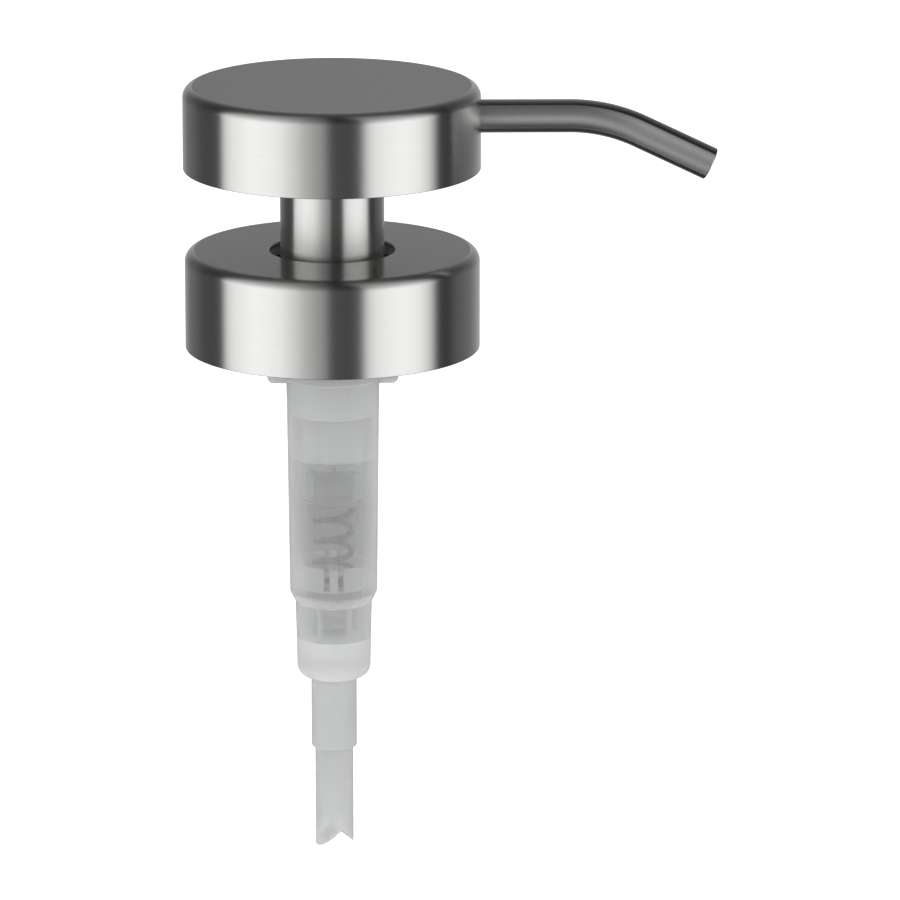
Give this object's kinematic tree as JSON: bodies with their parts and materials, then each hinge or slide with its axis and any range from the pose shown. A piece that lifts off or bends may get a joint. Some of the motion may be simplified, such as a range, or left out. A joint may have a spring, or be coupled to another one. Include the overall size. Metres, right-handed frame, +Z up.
{
  "type": "soap pump dispenser",
  "caption": "Press-down soap pump with a round steel head and collar, a bent side spout and a translucent pump body, for a screw-neck bottle.",
  "frame": {"origin": "on the pump's axis, in the plane where the gasket's underside meets the bottle's rim", "axes": "+Z up along the pump's axis, towards the head; +X along the spout"},
  "size_m": [0.0972, 0.0542, 0.1436],
  "materials": {
    "brushed_steel": "brushed stainless steel, satin",
    "frosted_plastic": "translucent natural polypropylene",
    "white_plastic": "white moulded plastic",
    "dark_plastic": "dark grey moulded plastic",
    "seal_rubber": "matt rubber",
    "gasket_foam": "soft white seal",
    "spring_steel": "drawn stainless wire and ball"
  },
  "bodies": {
    "pump_body": {"housing": "frosted_plastic", "chaplet": "frosted_plastic", "stem_well": "dark_plastic", "neck_gasket": "gasket_foam", "valve_cage": "frosted_plastic", "dip_tube": "frosted_plastic", "return_spring": "spring_steel"},
    "ball": {"inlet_ball": "spring_steel"},
    "plunger": {"plunger": "frosted_plastic"},
    "piston": {"piston": "white_plastic"},
    "head": {"stem": "white_plastic", "stem_seal": "seal_rubber", "sleeve_core": "white_plastic", "sleeve": "brushed_steel", "head_core": "white_plastic", "head_base": "brushed_steel", "head_shell": "brushed_steel", "spout_tube": "brushed_steel", "spout_seal": "seal_rubber"},
    "collar": {"collar_insert": "white_plastic", "collar_shell": "brushed_steel"}
  },
  "joints": [
    {"name": "pump_stroke", "type": "slide", "parent": "pump_body", "child": "plunger", "axis": [0, 0, -1], "range_m": [0, 0.012], "stiffness_N_per_m": 660, "springref_m": -0.012, "deforming": ["return_spring"]},
    {"name": "head_swivel", "type": "hinge", "parent": "plunger", "child": "head", "pos_m": [0, 0, 0], "axis": [0, 0, 1], "continuous": true},
    {"name": "piston_slip", "type": "slide", "parent": "plunger", "child": "piston", "axis": [0, 0, 1], "range_m": [0, 0.0008]},
    {"name": "ball_lift", "type": "slide", "parent": "pump_body", "child": "ball", "axis": [0, 0, 1], "range_m": [0, 0.0018]},
    {"name": "collar_turn", "type": "hinge", "parent": "pump_body", "child": "collar", "pos_m": [0, 0, 0], "axis": [0, 0, 1], "continuous": true}
  ]
}
